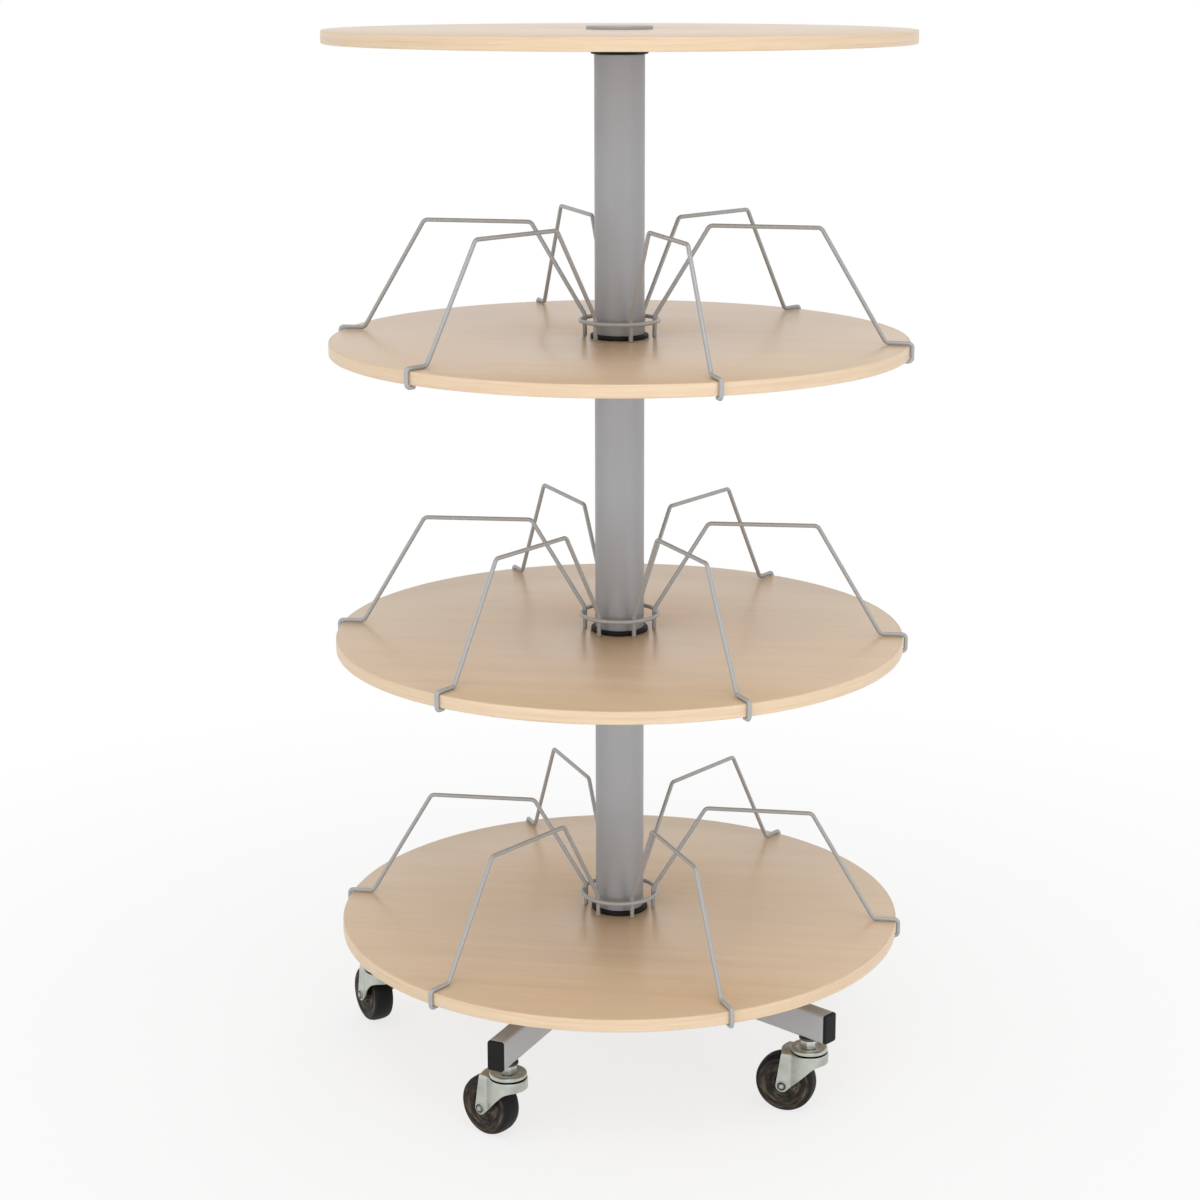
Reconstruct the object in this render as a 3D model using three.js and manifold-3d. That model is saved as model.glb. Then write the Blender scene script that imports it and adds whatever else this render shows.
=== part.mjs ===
// Rotary file stand: three turning tiers with welded wire dividers on a five-arm castor base.
// Millimetres, +Z up. The origin is on the floor, on the axis of the column.
// Plan angles are measured from -Y towards +X.
import * as THREE from 'three';
import { mergeVertices } from 'three/addons/utils/BufferGeometryUtils.js';
import Module from 'manifold-3d';

// Clearances
const FIT = 0.3;
const RUNNING_GAP = 0.5;
const CUT_MARGIN = 2;

// Round boards and their edging strips
const BOARD_DIAMETER = 675;
const BOARD_THICKNESS = 15;
const EDGING_THICKNESS = 2;
const EDGING_CHAMFER = 1.5;
const TIERS = ['lower', 'middle', 'upper'];
const TIER_PITCH = 352;
const TIER_TURNS = [0, 2.8, -3.3];

// Column: an inner mast, outer sleeves and plastic bushes between the boards
const SLEEVE_DIAMETER = 58;
const SLEEVE_WALL = 2.5;
const MAST_DIAMETER = 32;
const MAST_WALL = 2.5;
const FOOT_FLANGE_DIAMETER = 68;
const FOOT_FLANGE_HEIGHT = 4;
const HEAD_FLANGE_DIAMETER = 66;
const HEAD_FLANGE_HEIGHT = 12;
const JOURNAL_DIAMETER = 44;
const SPIGOT_LENGTH = 15;
const COVER_CAP_DIAMETER = 76;
const COVER_CAP_PROUD = 4;
const COVER_CAP_RECESS = 1;
const COVER_CAP_CHAMFER = 0.6;
const COVER_PLUG_LENGTH = 15;

// Wire dividers, as radius from the column axis and height over the board
const WIRE_DIAMETER = 5;
const DIVIDERS_PER_TIER = 6;
const DIVIDER_START = 30;
const DIVIDER_HEIGHT = 132;
const DIVIDER_OUTER_RADIUS = 234;
const DIVIDER_INNER_RADIUS = 105.5;
const FOOT_LENGTH = 30;
const HOOK_TAIL = 12;
const HOOK_BEND = 4.5;
const DIVIDER_BEND = 8;
const POST_RADIUS = 41.5;
const POST_HEIGHT = 26;
const RING_HEIGHT = 20.5;
const WELD_DEPTH = 0.8;

// Base: a hub with five arms of rectangular tube
const ARM_COUNT = 5;
const ARM_START = -88.3;
const ARM_REACH = 330;
const ARM_WIDTH = 20;
const ARM_HEIGHT = 35;
const ARM_WALL = 1.5;
const ARM_CORNER = 3;
const END_CAP_FLANGE = 3.5;
const END_CAP_PLUG = 8;
const HUB_DROP = 4;
const HUB_RISE = 15.6;
const HUB_WEB = 6;
const WELD_NUT_DIAMETER = 16;
const WELD_NUT_HEIGHT = 8;

// Swivel castors
const CASTOR_INSET = 31;
const CASTOR_TURNS = [-140.9, -120.8, -101.9, -40, 60];
const WHEEL_DIAMETER = 70;
const WHEEL_WIDTH = 25;
const WHEEL_HUB_DIAMETER = 22;
const WHEEL_HUB_WIDTH = 28;
const WHEEL_WEB_WIDTH = 19.5;
const TREAD_WIDTH = 14;
const TREAD_DROP = 3;
const TRAIL = 27;
const AXLE_DIAMETER = 8;
const RIVET_HEAD_DIAMETER = 12;
const RIVET_HEAD_HEIGHT = 2.4;
const FORK_WIDTH = 36.5;
const FORK_SHEET = 2.5;
const FORK_LEG_WIDTH = 15;
const FORK_SKIRT = 12.5;
const FORK_SWEEP = 8;
const FORK_CREASE = 15;
const FORK_TONGUE = 1;
const FORK_TONGUE_BULGE = 4;
const CROWN_DIAMETER = 45;
const CROWN_CLEARANCE = 4;
const RACE_DIAMETER = 43;
const RACE_HEIGHT = 4.5;
const RACE_GAP = 0.6;
const RACE_DISH_DIAMETER = 27;
const RACE_DISH_DEPTH = 1.2;
const RACE_SHEET = 2;
const KINGPIN_DIAMETER = 12;
const KINGPIN_HEAD_DIAMETER = 18;
const KINGPIN_HEAD_HEIGHT = 2.4;
const STUD_DIAMETER = 10;
const STUD_CHAMFER = 1;
const LOCK_NUT_FLATS = 17;
const LOCK_NUT_HEIGHT = 12.4;
const LOCK_NUT_FLANGE_DIAMETER = 24;
const LOCK_NUT_FLANGE_HEIGHT = 3;

// Facets of the round forms
const BOARD_FACETS = 42;
const TUBE_FACETS = 18;
const MAST_FACETS = 16;
const WHEEL_FACETS = 20;
const PIN_FACETS = 8;
const WIRE_FACETS = 5;
const RING_FACETS = 18;
const HOOK_CHORDS = 2;
const BEND_CHORDS = 1;
const CORNER_CHORDS = 1;
const CROWN_CHORDS = 9;
const LEG_CHORDS = 3;

// Levels, stacked up from the floor
const axleHeight = WHEEL_DIAMETER / 2;
const crownTop = WHEEL_DIAMETER + CROWN_CLEARANCE + FORK_SHEET;
const raceBottom = crownTop + RACE_GAP;
const raceTop = raceBottom + RACE_HEIGHT;
const armBottom = raceTop + LOCK_NUT_HEIGHT + 2 * FIT;
const armTop = armBottom + ARM_HEIGHT;
const hubTop = armTop + HUB_RISE;
const lowestBoardTop = hubTop + FIT + HEAD_FLANGE_HEIGHT + RUNNING_GAP + BOARD_THICKNESS;
const boardTop = (tier) => lowestBoardTop + tier * TIER_PITCH;
const topBoardTop = boardTop(TIERS.length);

// Radii that several pieces share
const boardRadius = BOARD_DIAMETER / 2;
const sleeveRadius = SLEEVE_DIAMETER / 2;
const sleeveBore = sleeveRadius - SLEEVE_WALL;
const mastRadius = MAST_DIAMETER / 2;
const mastClear = flatsAt(mastRadius + FIT, TUBE_FACETS);
const journalRadius = JOURNAL_DIAMETER / 2;
const wireRadius = WIRE_DIAMETER / 2;
const studRadius = STUD_DIAMETER / 2;
const axleRadius = AXLE_DIAMETER / 2;
const kingpinRadius = KINGPIN_DIAMETER / 2;
const forkHalf = FORK_WIDTH / 2;
const castorRadius = ARM_REACH - CASTOR_INSET;

const laminate = new THREE.MeshStandardMaterial({ color: 0xd9c3a3, roughness: 0.45, metalness: 0 });
const edging = new THREE.MeshStandardMaterial({ color: 0xf0d9b8, roughness: 0.4, metalness: 0 });
const silverPaint = new THREE.MeshStandardMaterial({ color: 0xa3a3a6, roughness: 0.4, metalness: 0.6 });
const wirePaint = new THREE.MeshStandardMaterial({ color: 0xa9aaa8, roughness: 0.4, metalness: 0.5 });
const blackPlastic = new THREE.MeshStandardMaterial({ color: 0x1d1d1e, roughness: 0.5, metalness: 0 });
const zinc = new THREE.MeshStandardMaterial({ color: 0xc3c9c4, roughness: 0.3, metalness: 0.9 });
const steel = new THREE.MeshStandardMaterial({ color: 0x8f9194, roughness: 0.4, metalness: 0.9 });
const rubber = new THREE.MeshStandardMaterial({ color: 0x2b2421, roughness: 0.7, metalness: 0 });

const wasm = await Module();
wasm.setup();

function toSolid(geometry) {
  const bare = geometry.clone();
  bare.deleteAttribute('normal');
  bare.deleteAttribute('uv');
  const merged = mergeVertices(bare, 1e-3);
  const vertProperties = merged.attributes.position.array;
  const triVerts = new Uint32Array(merged.index.array);
  return new wasm.Manifold(new wasm.Mesh({ numProp: 3, vertProperties, triVerts }));
}

function toGeometry(solid) {
  const { vertProperties, triVerts } = solid.getMesh();
  const geometry = new THREE.BufferGeometry();
  geometry.setAttribute('position', new THREE.BufferAttribute(vertProperties, 3));
  geometry.setIndex(new THREE.BufferAttribute(triVerts, 1));
  geometry.computeVertexNormals();
  return geometry;
}

// A solid of revolution about Z from [radius, height] pairs, up the outside and down the inside.
function revolve(profile, facets) {
  const points = profile.map(([radius, height]) => new THREE.Vector2(radius, height));
  return new THREE.LatheGeometry(points, facets).rotateX(Math.PI / 2);
}

// A revolved ring, whose profile closes on itself.
function revolveRing(profile, facets) {
  return revolve([...profile, profile[0]], facets);
}

// The corner radius of a faceted round whose flats lie at the given radius.
function flatsAt(radius, facets) {
  return radius / Math.cos(Math.PI / facets);
}

// A round bar along Z between two heights, with its flats at the given radius.
function bar(radius, bottom, top, facets) {
  const corner = flatsAt(radius, facets);
  return revolve([[0, bottom], [corner, bottom], [corner, top], [0, top]], facets);
}

function extrude(shape, depth, curveSegments) {
  return new THREE.ExtrudeGeometry(shape, { depth, bevelEnabled: false, curveSegments });
}

function roundedRectangle(width, height, corner) {
  const x = width / 2 - corner;
  const y = height / 2 - corner;
  const shape = new THREE.Shape();
  shape.absarc(x, y, corner, 0, 0.5 * Math.PI);
  shape.absarc(-x, y, corner, 0.5 * Math.PI, Math.PI);
  shape.absarc(-x, -y, corner, Math.PI, 1.5 * Math.PI);
  shape.absarc(x, -y, corner, 1.5 * Math.PI, 2 * Math.PI);
  return shape;
}

function polygon(radius, sides) {
  const corners = Array.from({ length: sides }, (_, i) => {
    const angle = (2 * Math.PI * i) / sides;
    return new THREE.Vector2(radius * Math.cos(angle), radius * Math.sin(angle));
  });
  return new THREE.Shape(corners);
}

// A direction in plan at an angle from -Y towards +X.
function planDirection(degrees) {
  const angle = THREE.MathUtils.degToRad(degrees);
  return new THREE.Vector3(Math.sin(angle), -Math.cos(angle), 0);
}

// A group whose +X points along a plan angle.
function turnedGroup(degrees) {
  const group = new THREE.Group();
  group.rotation.z = THREE.MathUtils.degToRad(degrees - 90);
  return group;
}

function add(group, name, geometry, material) {
  const mesh = new THREE.Mesh(geometry, material);
  mesh.name = name;
  group.add(mesh);
  return mesh;
}

// A wire along straight runs joined by arcs, with stations only where its direction changes.
class BentWire extends THREE.Curve {
  constructor(corners, bends) {
    super();
    const last = corners.length - 1;
    const along = (i) => corners[i + 1].clone().sub(corners[i]).normalize();
    this.stations = [{ point: corners[0], tangent: along(0) }];
    for (let i = 1; i < last; i++) {
      this.addBend(corners[i], along(i - 1), along(i), bends[i - 1]);
    }
    this.stations.push({ point: corners[last], tangent: along(last - 1) });
  }

  addBend(corner, before, after, { radius, chords }) {
    const turn = before.angleTo(after);
    const inward = after.clone().addScaledVector(before, -after.dot(before)).normalize();
    const start = corner.clone().addScaledVector(before, -radius * Math.tan(turn / 2));
    for (let i = 0; i <= chords; i++) {
      const angle = (turn * i) / chords;
      const point = start.clone().addScaledVector(before, radius * Math.sin(angle));
      point.addScaledVector(inward, radius * (1 - Math.cos(angle)));
      const tangent = before.clone().multiplyScalar(Math.cos(angle));
      tangent.addScaledVector(inward, Math.sin(angle));
      this.stations.push({ point, tangent });
    }
  }

  get steps() {
    return this.stations.length - 1;
  }

  station(u) {
    return this.stations[Math.round(u * this.steps)];
  }

  getPointAt(u, target = new THREE.Vector3()) {
    return target.copy(this.station(u).point);
  }

  getTangentAt(u, target = new THREE.Vector3()) {
    return target.copy(this.station(u).tangent);
  }
}

function boardShape(boreRadius) {
  const shape = polygon(boardRadius - EDGING_THICKNESS - FIT, BOARD_FACETS);
  shape.holes.push(polygon(boreRadius, TUBE_FACETS));
  return shape;
}

function shelfBoard() {
  return extrude(boardShape(flatsAt(journalRadius + RUNNING_GAP, TUBE_FACETS)), BOARD_THICKNESS);
}

// The top board has a shallow seat for the cover cap.
function topBoard() {
  const board = toSolid(extrude(boardShape(mastClear), BOARD_THICKNESS));
  const seatFloor = BOARD_THICKNESS - COVER_CAP_RECESS;
  const seatRadius = COVER_CAP_DIAMETER / 2 + FIT;
  const seat = toSolid(bar(seatRadius, seatFloor, BOARD_THICKNESS + CUT_MARGIN, TUBE_FACETS));
  return toGeometry(board.subtract(seat));
}

function boardEdging() {
  const inner = boardRadius - EDGING_THICKNESS;
  const ease = EDGING_CHAMFER;
  const profile = [
    [inner, 0],
    [boardRadius - ease, 0],
    [boardRadius, ease],
    [boardRadius, BOARD_THICKNESS - ease],
    [boardRadius - ease, BOARD_THICKNESS],
    [inner, BOARD_THICKNESS],
  ];
  return revolveRing(profile, BOARD_FACETS).rotateZ(0.5 * Math.PI);
}

// One divider in the plane of +X and +Z, from its hook under the rim to its post by the column.
function dividerWire() {
  const hookRadius = boardRadius + FIT + wireRadius;
  const hookBottom = -BOARD_THICKNESS - FIT - wireRadius;
  const footHeight = FIT + wireRadius;
  const profile = [
    [hookRadius - HOOK_TAIL, hookBottom],
    [hookRadius, hookBottom],
    [hookRadius, footHeight],
    [hookRadius - FOOT_LENGTH, footHeight],
    [DIVIDER_OUTER_RADIUS, DIVIDER_HEIGHT],
    [DIVIDER_INNER_RADIUS, DIVIDER_HEIGHT],
    [POST_RADIUS, POST_HEIGHT],
    [POST_RADIUS, FIT],
  ];
  const corners = profile.map(([radius, height]) => new THREE.Vector3(radius, 0, height));
  const hook = { radius: HOOK_BEND, chords: HOOK_CHORDS };
  const bend = { radius: DIVIDER_BEND, chords: BEND_CHORDS };
  const extrudePath = new BentWire(corners, [hook, hook, bend, bend, bend, bend]);
  const section = polygon(wireRadius, WIRE_FACETS);
  return new THREE.ExtrudeGeometry(section, { steps: extrudePath.steps, extrudePath });
}

// Six dividers welded to the inside of a wire ring round the column.
function wireDividers() {
  const ringRadius = POST_RADIUS + WIRE_DIAMETER - WELD_DEPTH;
  const section = Array.from({ length: WIRE_FACETS + 1 }, (_, i) => {
    const angle = Math.PI * (1 + (2 * i) / WIRE_FACETS);
    return [ringRadius + wireRadius * Math.cos(angle), RING_HEIGHT + wireRadius * Math.sin(angle)];
  });
  let basket = toSolid(revolve(section, RING_FACETS));
  for (let i = 0; i < DIVIDERS_PER_TIER; i++) {
    const angle = (2 * Math.PI * i) / DIVIDERS_PER_TIER;
    basket = basket.add(toSolid(dividerWire().rotateZ(angle)));
  }
  return toGeometry(basket);
}

function columnSleeve() {
  const length = TIER_PITCH - BOARD_THICKNESS - 2 * RUNNING_GAP
    - FOOT_FLANGE_HEIGHT - HEAD_FLANGE_HEIGHT - 2 * FIT;
  const profile = [
    [sleeveBore, 0],
    [sleeveRadius, 0],
    [sleeveRadius, length],
    [sleeveBore, length],
  ];
  return revolveRing(profile, TUBE_FACETS);
}

// Foot bush: its journal carries the board, its flange the sleeve. Zero is the board's top face.
function footBush() {
  const flangeTop = RUNNING_GAP + FOOT_FLANGE_HEIGHT;
  const journalBottom = -BOARD_THICKNESS - RUNNING_GAP + FIT;
  const spigotRadius = sleeveBore - FIT;
  const profile = [
    [mastClear, journalBottom],
    [journalRadius, journalBottom],
    [journalRadius, RUNNING_GAP],
    [FOOT_FLANGE_DIAMETER / 2, RUNNING_GAP],
    [FOOT_FLANGE_DIAMETER / 2, flangeTop],
    [spigotRadius, flangeTop],
    [spigotRadius, flangeTop + SPIGOT_LENGTH],
    [mastClear, flangeTop + SPIGOT_LENGTH],
  ];
  return revolveRing(profile, TUBE_FACETS);
}

// Head bush: its flange carries the board over it. Zero is the flange's top face.
function headBush() {
  const spigotRadius = sleeveBore - FIT;
  const profile = [
    [mastClear, -HEAD_FLANGE_HEIGHT - SPIGOT_LENGTH],
    [spigotRadius, -HEAD_FLANGE_HEIGHT - SPIGOT_LENGTH],
    [spigotRadius, -HEAD_FLANGE_HEIGHT],
    [HEAD_FLANGE_DIAMETER / 2, -HEAD_FLANGE_HEIGHT],
    [HEAD_FLANGE_DIAMETER / 2, 0],
    [mastClear, 0],
  ];
  return revolveRing(profile, TUBE_FACETS);
}

function mast() {
  const bottom = armBottom - HUB_DROP;
  const top = topBoardTop - COVER_CAP_RECESS - FIT;
  const bore = mastRadius - MAST_WALL;
  return revolveRing([[bore, bottom], [mastRadius, bottom], [mastRadius, top], [bore, top]], MAST_FACETS);
}

// Cover cap: a disc in the top board's seat, with a plug in the mast. Zero is the board's top face.
function coverCap() {
  const radius = COVER_CAP_DIAMETER / 2;
  const underside = FIT - COVER_CAP_RECESS;
  const plugRadius = mastRadius - MAST_WALL - 2 * FIT;
  const profile = [
    [0, underside - COVER_PLUG_LENGTH],
    [plugRadius, underside - COVER_PLUG_LENGTH],
    [plugRadius, underside],
    [radius, underside],
    [radius, COVER_CAP_PROUD - COVER_CAP_CHAMFER],
    [radius - COVER_CAP_CHAMFER, COVER_CAP_PROUD],
    [0, COVER_CAP_PROUD],
  ];
  return revolve(profile, TUBE_FACETS);
}

// The hub is a short tube, like the sleeves, with a web at the bottom that holds the mast.
function baseHub() {
  const bottom = armBottom - HUB_DROP;
  const profile = [
    [mastClear, bottom],
    [sleeveRadius, bottom],
    [sleeveRadius, hubTop],
    [sleeveBore, hubTop],
    [sleeveBore, bottom + HUB_WEB],
    [mastClear, bottom + HUB_WEB],
  ];
  return revolveRing(profile, TUBE_FACETS);
}

// An outline across the arm, extruded along +X from a start radius, with its lowest side at armBottom.
function alongArm(shape, start, length) {
  const geometry = extrude(shape, length, CORNER_CHORDS);
  geometry.rotateX(0.5 * Math.PI).rotateZ(0.5 * Math.PI);
  return geometry.translate(start, 0, armBottom + ARM_HEIGHT / 2);
}

// One arm along +X, cut round the hub, with a weld nut inside for the castor's stud.
function baseArm() {
  const end = ARM_REACH - END_CAP_FLANGE - FIT;
  const walls = 2 * ARM_WALL;
  const shape = roundedRectangle(ARM_WIDTH, ARM_HEIGHT, ARM_CORNER);
  shape.holes.push(roundedRectangle(ARM_WIDTH - walls, ARM_HEIGHT - walls, ARM_CORNER - ARM_WALL));
  const nutTop = armBottom + ARM_WALL + WELD_NUT_HEIGHT;
  const nut = bar(WELD_NUT_DIAMETER / 2, armBottom + ARM_WALL / 2, nutTop, PIN_FACETS);
  const hole = bar(studRadius + FIT, armBottom - CUT_MARGIN, nutTop + CUT_MARGIN, PIN_FACETS);
  const hubCut = bar(sleeveRadius + FIT, armBottom - CUT_MARGIN, armTop + CUT_MARGIN, TUBE_FACETS);
  const arm = toSolid(alongArm(shape, 0, end))
    .add(toSolid(nut.translate(castorRadius, 0, 0)))
    .subtract(toSolid(hole.translate(castorRadius, 0, 0)))
    .subtract(toSolid(hubCut));
  return toGeometry(arm);
}

function armEndCap() {
  const start = ARM_REACH - END_CAP_FLANGE;
  const inset = 2 * (ARM_WALL + FIT);
  const flange = roundedRectangle(ARM_WIDTH, ARM_HEIGHT, ARM_CORNER);
  const plug = roundedRectangle(ARM_WIDTH - inset, ARM_HEIGHT - inset, ARM_CORNER - ARM_WALL);
  const cap = toSolid(alongArm(flange, start, END_CAP_FLANGE))
    .add(toSolid(alongArm(plug, start - END_CAP_PLUG, END_CAP_PLUG + END_CAP_FLANGE / 2)));
  return toGeometry(cap);
}

// Stem: stud, dished race plate and kingpin with its riveted head, in one piece.
function castorStem() {
  const headTop = crownTop - FORK_SHEET - FIT;
  const headBottom = headTop - KINGPIN_HEAD_HEIGHT;
  const studTop = armBottom + ARM_WALL + WELD_NUT_HEIGHT;
  const dishRadius = RACE_DISH_DIAMETER / 2;
  const raceRadius = RACE_DIAMETER / 2;
  const profile = [
    [0, headBottom],
    [KINGPIN_HEAD_DIAMETER / 2 - KINGPIN_HEAD_HEIGHT / 2, headBottom],
    [KINGPIN_HEAD_DIAMETER / 2, headTop],
    [kingpinRadius, headTop],
    [kingpinRadius, raceTop - RACE_DISH_DEPTH - RACE_SHEET],
    [raceRadius - RACE_SHEET, raceTop - RACE_DISH_DEPTH - RACE_SHEET],
    [raceRadius - RACE_SHEET, raceBottom],
    [raceRadius, raceBottom],
    [raceRadius, raceTop],
    [dishRadius, raceTop],
    [dishRadius - RACE_DISH_DEPTH, raceTop - RACE_DISH_DEPTH],
    [studRadius, raceTop - RACE_DISH_DEPTH],
    [studRadius, studTop - STUD_CHAMFER],
    [studRadius - STUD_CHAMFER, studTop],
    [0, studTop],
  ];
  return revolve(profile, PIN_FACETS);
}

// Lock nut: a hexagon with a round flange under the arm.
function lockNut() {
  const seat = raceTop - RACE_DISH_DEPTH + FIT;
  const top = armBottom - FIT;
  const hexagon = extrude(polygon(flatsAt(LOCK_NUT_FLATS / 2, 6), 6), top - seat);
  const flangeBottom = top - LOCK_NUT_FLANGE_HEIGHT;
  const flange = bar(LOCK_NUT_FLANGE_DIAMETER / 2, flangeBottom, top, TUBE_FACETS);
  const hole = bar(studRadius + FIT, seat - CUT_MARGIN, top + CUT_MARGIN, PIN_FACETS);
  const nut = toSolid(hexagon.translate(0, 0, seat))
    .add(toSolid(flange))
    .subtract(toSolid(hole));
  return toGeometry(nut);
}

// Fork outline in plan: a round crown whose sides run in to a straight tongue over the wheel, towards +X.
function forkPlan(inset, tongueEnd, bulge) {
  const half = forkHalf - inset;
  const radius = CROWN_DIAMETER / 2 - inset;
  const crease = new THREE.Vector2(FORK_CREASE, half);
  const tangent = crease.angle() + Math.acos(radius / crease.length());
  const shape = new THREE.Shape();
  shape.moveTo(tongueEnd, -half);
  shape.quadraticCurveTo(tongueEnd + 2 * bulge, 0, tongueEnd, half);
  shape.lineTo(crease.x, crease.y);
  shape.absarc(0, 0, radius, tangent, 2 * Math.PI - tangent);
  shape.lineTo(crease.x, -crease.y);
  return shape;
}

// Fork outline from the side: legs that slope from the crown's skirt to a round end at the axle.
function forkSide() {
  const front = -CROWN_DIAMETER / 2 - CUT_MARGIN;
  const legRadius = FORK_LEG_WIDTH / 2;
  const skirtBottom = crownTop - FORK_SKIRT;
  const frontTangent = 1.25 * Math.PI;
  const legFront = TRAIL + legRadius * Math.cos(frontTangent);
  const legBottom = axleHeight + legRadius * Math.sin(frontTangent);
  const elbow = legFront - (skirtBottom - legBottom);
  const slope = FORK_SWEEP * Math.SQRT1_2;
  const back = new THREE.Vector2(FORK_TONGUE, crownTop - axleHeight);
  const backTangent = back.angle() - Math.acos(legRadius / back.length());
  const shape = new THREE.Shape();
  shape.moveTo(front, crownTop);
  shape.lineTo(front, skirtBottom);
  shape.lineTo(elbow - FORK_SWEEP, skirtBottom);
  shape.quadraticCurveTo(elbow, skirtBottom, elbow + slope, skirtBottom - slope);
  shape.absarc(TRAIL, axleHeight, legRadius, frontTangent, 2 * Math.PI + backTangent);
  shape.lineTo(TRAIL + FORK_TONGUE, crownTop);
  return shape;
}

// A round cut along Y at the axle.
function axleBar(radius, halfLength) {
  const cut = bar(radius, -halfLength, halfLength, PIN_FACETS);
  return cut.rotateX(0.5 * Math.PI).translate(TRAIL, 0, axleHeight);
}

function castorFork() {
  const legEnd = TRAIL + FORK_LEG_WIDTH;
  const outer = forkPlan(0, legEnd, 0);
  const inner = forkPlan(FORK_SHEET, legEnd + CUT_MARGIN, 0);
  const tongue = forkPlan(0, TRAIL + FORK_TONGUE, FORK_TONGUE_BULGE);
  const reach = CROWN_DIAMETER / 2 + CUT_MARGIN;
  const plate = extrude(tongue, FORK_SHEET, CROWN_CHORDS).translate(0, 0, crownTop - FORK_SHEET);
  const side = extrude(forkSide(), 2 * reach, LEG_CHORDS);
  side.rotateX(0.5 * Math.PI).translate(0, reach, 0);
  const kingpinHole = bar(kingpinRadius + RUNNING_GAP, 0, crownTop + CUT_MARGIN, PIN_FACETS);
  const wall = toSolid(extrude(outer, crownTop, CROWN_CHORDS))
    .subtract(toSolid(extrude(inner, crownTop + CUT_MARGIN, CROWN_CHORDS)))
    .intersect(toSolid(side));
  const fork = wall
    .add(toSolid(plate))
    .subtract(toSolid(kingpinHole))
    .subtract(toSolid(axleBar(axleRadius + FIT, reach)));
  return toGeometry(fork);
}

// Axle: a rivet along Y with a domed head outside each leg.
function castorAxle() {
  const legFace = forkHalf + FIT;
  const headRadius = RIVET_HEAD_DIAMETER / 2;
  const domeRadius = headRadius / 2;
  const domeTop = legFace + RIVET_HEAD_HEIGHT;
  const profile = [
    [0, -domeTop],
    [domeRadius, -domeTop],
    [headRadius, -legFace],
    [axleRadius, -legFace],
    [axleRadius, legFace],
    [headRadius, legFace],
    [domeRadius, domeTop],
    [0, domeTop],
  ];
  return revolve(profile, PIN_FACETS).rotateX(0.5 * Math.PI).translate(TRAIL, 0, axleHeight);
}

// Wheel: a solid tyre with a dished web and a hub, standing on one of its flats.
function castorWheel() {
  const bore = flatsAt(axleRadius + FIT, WHEEL_FACETS);
  const hubRadius = WHEEL_HUB_DIAMETER / 2;
  const treadRadius = flatsAt(WHEEL_DIAMETER / 2, WHEEL_FACETS);
  const half = [
    [bore, WHEEL_HUB_WIDTH / 2],
    [hubRadius, WHEEL_HUB_WIDTH / 2],
    [hubRadius, WHEEL_WEB_WIDTH / 2],
    [treadRadius - TREAD_DROP, WHEEL_WIDTH / 2],
    [treadRadius, TREAD_WIDTH / 2],
  ];
  const mirrored = half.map(([radius, offset]) => [radius, -offset]);
  const wheel = revolveRing([...mirrored, ...half.reverse()], WHEEL_FACETS);
  wheel.rotateZ(Math.PI / WHEEL_FACETS).rotateX(0.5 * Math.PI);
  return wheel.translate(TRAIL, 0, axleHeight);
}

function buildBase(stand) {
  add(stand, 'base_hub', baseHub(), silverPaint);
  add(stand, 'mast', mast(), steel);
  for (let i = 0; i < ARM_COUNT; i++) {
    const direction = ARM_START + (360 * i) / ARM_COUNT;
    const arm = turnedGroup(direction);
    add(arm, `base_arm_${i + 1}`, baseArm(), silverPaint);
    add(arm, `arm_end_cap_${i + 1}`, armEndCap(), blackPlastic);
    stand.add(arm);
    buildCastor(stand, i + 1, direction, CASTOR_TURNS[i]);
  }
}

function buildCastor(stand, number, direction, trailDirection) {
  const castor = turnedGroup(trailDirection);
  castor.position.copy(planDirection(direction)).multiplyScalar(castorRadius);
  add(castor, `castor_stem_${number}`, castorStem(), zinc);
  add(castor, `castor_lock_nut_${number}`, lockNut(), zinc);
  add(castor, `castor_fork_${number}`, castorFork(), zinc);
  add(castor, `castor_axle_${number}`, castorAxle(), zinc);
  add(castor, `castor_wheel_${number}`, castorWheel(), rubber);
  stand.add(castor);
}

function addHeadBush(stand, name, boardLevel) {
  const bush = add(stand, name, headBush(), blackPlastic);
  bush.position.z = boardLevel - BOARD_THICKNESS - RUNNING_GAP;
}

function buildTier(stand, tier) {
  const name = TIERS[tier];
  const level = boardTop(tier);
  const turning = turnedGroup(DIVIDER_START + TIER_TURNS[tier]);
  turning.position.z = level;
  add(turning, `shelf_board_${name}`, shelfBoard(), laminate).position.z = -BOARD_THICKNESS;
  add(turning, `shelf_edging_${name}`, boardEdging(), edging).position.z = -BOARD_THICKNESS;
  add(turning, `wire_dividers_${name}`, wireDividers(), wirePaint);
  stand.add(turning);
  add(stand, `foot_bush_${name}`, footBush(), blackPlastic).position.z = level;
  const sleeve = add(stand, `column_sleeve_${name}`, columnSleeve(), silverPaint);
  sleeve.position.z = level + RUNNING_GAP + FOOT_FLANGE_HEIGHT + FIT;
  addHeadBush(stand, `head_bush_${name}`, boardTop(tier + 1));
}

function buildTop(stand) {
  add(stand, 'top_board', topBoard(), laminate).position.z = topBoardTop - BOARD_THICKNESS;
  add(stand, 'top_edging', boardEdging(), edging).position.z = topBoardTop - BOARD_THICKNESS;
  add(stand, 'top_cover_cap', coverCap(), silverPaint).position.z = topBoardTop;
}

const stand = new THREE.Group();
buildBase(stand);
addHeadBush(stand, 'head_bush_base', boardTop(0));
TIERS.forEach((_, tier) => buildTier(stand, tier));
buildTop(stand);

export default stand;
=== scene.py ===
import math

import bmesh
import bpy
from mathutils import Matrix, Vector


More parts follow.
